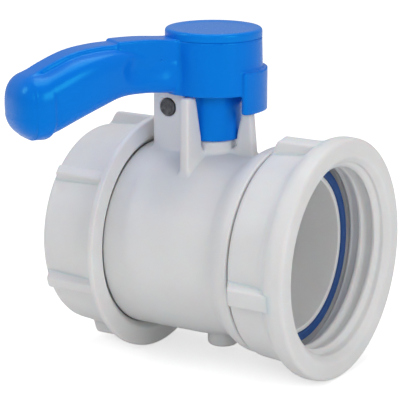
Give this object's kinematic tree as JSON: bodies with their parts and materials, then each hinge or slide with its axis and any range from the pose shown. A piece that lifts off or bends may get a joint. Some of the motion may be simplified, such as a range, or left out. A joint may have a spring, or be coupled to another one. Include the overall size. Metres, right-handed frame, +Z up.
{
  "type": "container outlet valve",
  "caption": "Quarter-turn plastic butterfly valve for a bulk container, with a lever, a swivelling union nut for the tank neck and a screw cap on its outlet.",
  "frame": {"origin": "Middle of the tank gasket's sealing face, on the pipe axis, at the inner end of the union nut's thread.", "axes": "+X along the pipe towards the tank, +Z up along the stem, so the outlet cap lies towards -X."},
  "size_m": [0.1134, 0.1251, 0.1322],
  "materials": {
    "white_plastic": "satin moulded natural polyethylene",
    "white_nut": "satin moulded natural polyethylene",
    "white_cap": "satin moulded natural polyethylene",
    "white_disc": "satin moulded plastic",
    "blue_plastic": "glossy moulded plastic",
    "blue_cap": "glossy moulded plastic",
    "blue_rubber": "matt elastomer",
    "dark_rubber": "matt elastomer",
    "seal_rubber": "matt elastomer",
    "oring_rubber": "matt elastomer",
    "stem_plastic": "turned reinforced plastic",
    "bush_plastic": "turned plastic",
    "screw_steel": "stainless steel",
    "grey_screw": "mottled dark grey, cast surface"
  },
  "bodies": {
    "valve_body": {"housing": "white_plastic", "stem_tower": "white_plastic", "tank_gasket": "blue_rubber", "nut_retaining_ring": "bush_plastic", "stem_oring_lower": "oring_rubber", "stem_bush": "bush_plastic", "stem_oring_upper": "oring_rubber", "thrust_washer": "bush_plastic", "lower_bush": "bush_plastic"},
    "lever_and_disc": {"lever": "blue_plastic", "hub_cap": "blue_cap", "lever_washer": "screw_steel", "lever_screw": "screw_steel", "stem": "stem_plastic", "disc": "white_disc", "disc_seal": "seal_rubber", "disc_screws": "screw_steel"},
    "nut": {"union_nut": "white_nut"},
    "cap_seal": {"cap_gasket": "dark_rubber"},
    "cap": {"outlet_cap": "white_cap"},
    "lock": {"lock_screw": "grey_screw"}
  },
  "joints": [
    {"name": "lever_turn", "type": "hinge", "parent": "valve_body", "child": "lever_and_disc", "pos_m": [-0.041, 0, 0], "axis": [0, 0, 1], "range_deg": [-60, 30]},
    {"name": "nut_spin", "type": "hinge", "parent": "valve_body", "child": "nut", "pos_m": [0, 0, 0], "axis": [1, 0, 0], "continuous": true},
    {"name": "cap_travel", "type": "slide", "parent": "valve_body", "child": "cap_seal", "axis": [-1, 0, 0], "range_m": [0, 0.03]},
    {"name": "cap_unscrew", "type": "hinge", "parent": "cap_seal", "child": "cap", "pos_m": [-0.0898, 0, 0], "axis": [-1, 0, 0], "range_deg": [0, 1800]},
    {"name": "lock_back_out", "type": "slide", "parent": "valve_body", "child": "lock", "axis": [0, -1, 0], "range_m": [0, 0.01]}
  ],
  "couplings": [
    {"joint": "cap_unscrew", "follows": "cap_travel", "rad_per_m": 1047.2}
  ]
}
